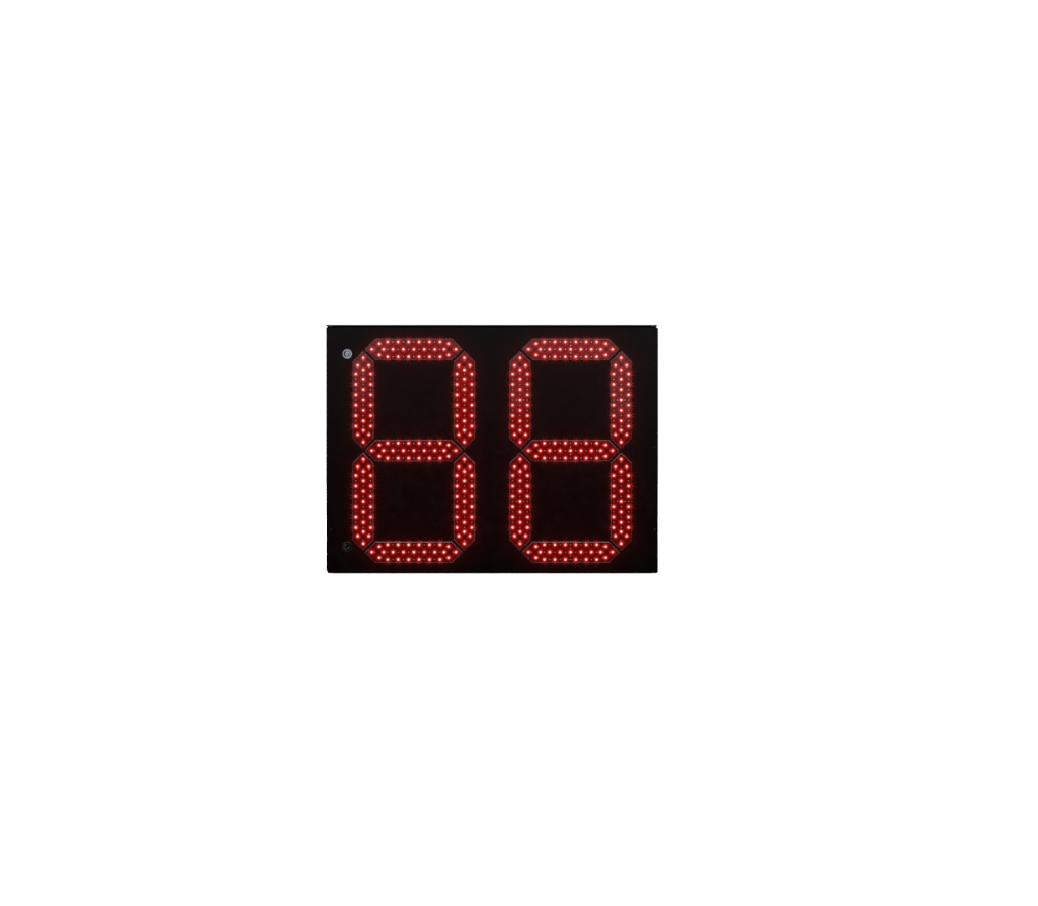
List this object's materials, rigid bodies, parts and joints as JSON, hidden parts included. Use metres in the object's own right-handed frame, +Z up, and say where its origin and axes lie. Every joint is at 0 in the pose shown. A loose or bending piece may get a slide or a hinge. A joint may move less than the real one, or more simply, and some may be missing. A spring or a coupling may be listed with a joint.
{
  "type": "led countdown signal head",
  "caption": "Shallow black sheet-metal case with a hinged display door: seven-segment digits of lit red LEDs behind raised clear lenses, quarter-turn locks, rear mounting rails.",
  "frame": {"origin": "centre of the footprint, on the underside of the case", "axes": "+Z up; the display faces -Y; +X is to the right of someone facing the display"},
  "size_m": [0.8, 0.13, 0.6],
  "materials": {
    "door_paint": "semi-gloss black powder coat, fine orange peel",
    "case_paint": "satin black powder coat",
    "galvanised": "hot-dip galvanised, dull spangle",
    "zinc_fasteners": "bright zinc plate",
    "black_fasteners": "black oxide",
    "hinge_steel": "zinc-plated steel",
    "pin_steel": "ground stainless",
    "lock_chrome": "bright die-cast zinc",
    "cam_zinc": "zinc-plated steel",
    "earth_brass": "plain brass",
    "nylon_black": "moulded nylon",
    "gasket_foam": "closed-cell EPDM",
    "lens_clear": "clear polycarbonate, polished",
    "shroud_black": "moulded black",
    "potting_dark": "dark potting compound, semi-gloss",
    "board_mask": "green solder mask",
    "red_led": "clear epoxy, lit",
    "second_led": "water-clear epoxy, not lit",
    "chip_black": "moulded epoxy",
    "cable_grey": "PVC ribbon",
    "cable_black": "PVC sheath",
    "cable_red": "PVC sheath",
    "psu_metal": "plain folded sheet",
    "terminal_ivory": "moulded nylon",
    "plate_zinc": "zinc-plated sheet",
    "button_red": "moulded"
  },
  "bodies": {
    "case": {"housing_wrap": "case_paint", "back_panel": "case_paint", "back_screws": "zinc_fasteners", "rain_hood": "case_paint", "mount_rail_lower": "galvanised", "mount_rail_upper": "galvanised", "rail_bolts": "zinc_fasteners", "rail_nuts": "zinc_fasteners", "hinge_leaves_case": "hinge_steel", "hinge_pins": "pin_steel", "hinge_screws": "zinc_fasteners", "gland_body": "nylon_black", "gland_dome_nut": "nylon_black", "gland_locknut": "nylon_black", "vent_plug": "nylon_black", "earth_stud": "earth_brass", "earth_nuts": "earth_brass", "chassis_plate": "plate_zinc", "chassis_posts": "zinc_fasteners", "power_supply": "psu_metal", "power_terminals": "chip_black", "terminal_block": "terminal_ivory", "controller_board": "board_mask", "controller_parts": "chip_black", "test_switch_body": "chip_black", "dc_lead": "cable_red", "mains_lead": "cable_black", "loom_case": "cable_black", "loom_crossing": "cable_black"},
    "door": {"door_panel": "door_paint", "door_frame": "plate_zinc", "door_stiffener": "plate_zinc", "door_gasket": "gasket_foam", "door_rivets": "black_fasteners", "hinge_leaves_door": "hinge_steel", "lens_left": "lens_clear", "lens_right": "lens_clear", "shroud_left": "shroud_black", "shroud_right": "shroud_black", "potting_left": "potting_dark", "potting_right": "potting_dark", "board_left": "board_mask", "board_right": "board_mask", "red_leds_left": "red_led", "red_leds_right": "red_led", "second_leds_left": "second_led", "second_leds_right": "second_led", "segment_screws": "black_fasteners", "board_posts": "zinc_fasteners", "board_nuts": "zinc_fasteners", "driver_parts": "chip_black", "ribbon_link": "cable_grey", "loom_door": "cable_black", "lock_bodies": "lock_chrome", "lock_nuts": "zinc_fasteners"},
    "lock_upper": {"lock_core_upper": "lock_chrome", "lock_cam_upper": "cam_zinc"},
    "lock_lower": {"lock_core_lower": "lock_chrome", "lock_cam_lower": "cam_zinc"},
    "test_button": {"test_button": "button_red"}
  },
  "joints": [
    {"name": "door_hinge", "type": "hinge", "parent": "case", "child": "door", "pos_m": [0.391, -0.029, 0.305], "axis": [0, 0, 1], "range_deg": [0, 110]},
    {"name": "upper_lock_turn", "type": "hinge", "parent": "door", "child": "lock_upper", "pos_m": [-0.3495, -0.05, 0.53], "axis": [0, 1, 0], "range_deg": [0, 90]},
    {"name": "lower_lock_turn", "type": "hinge", "parent": "door", "child": "lock_lower", "pos_m": [-0.3495, -0.05, 0.0645], "axis": [0, 1, 0], "range_deg": [0, 90]},
    {"name": "test_button_press", "type": "slide", "parent": "case", "child": "test_button", "axis": [0, 1, 0], "range_m": [0, 0.002], "stiffness_N_per_m": 400}
  ]
}
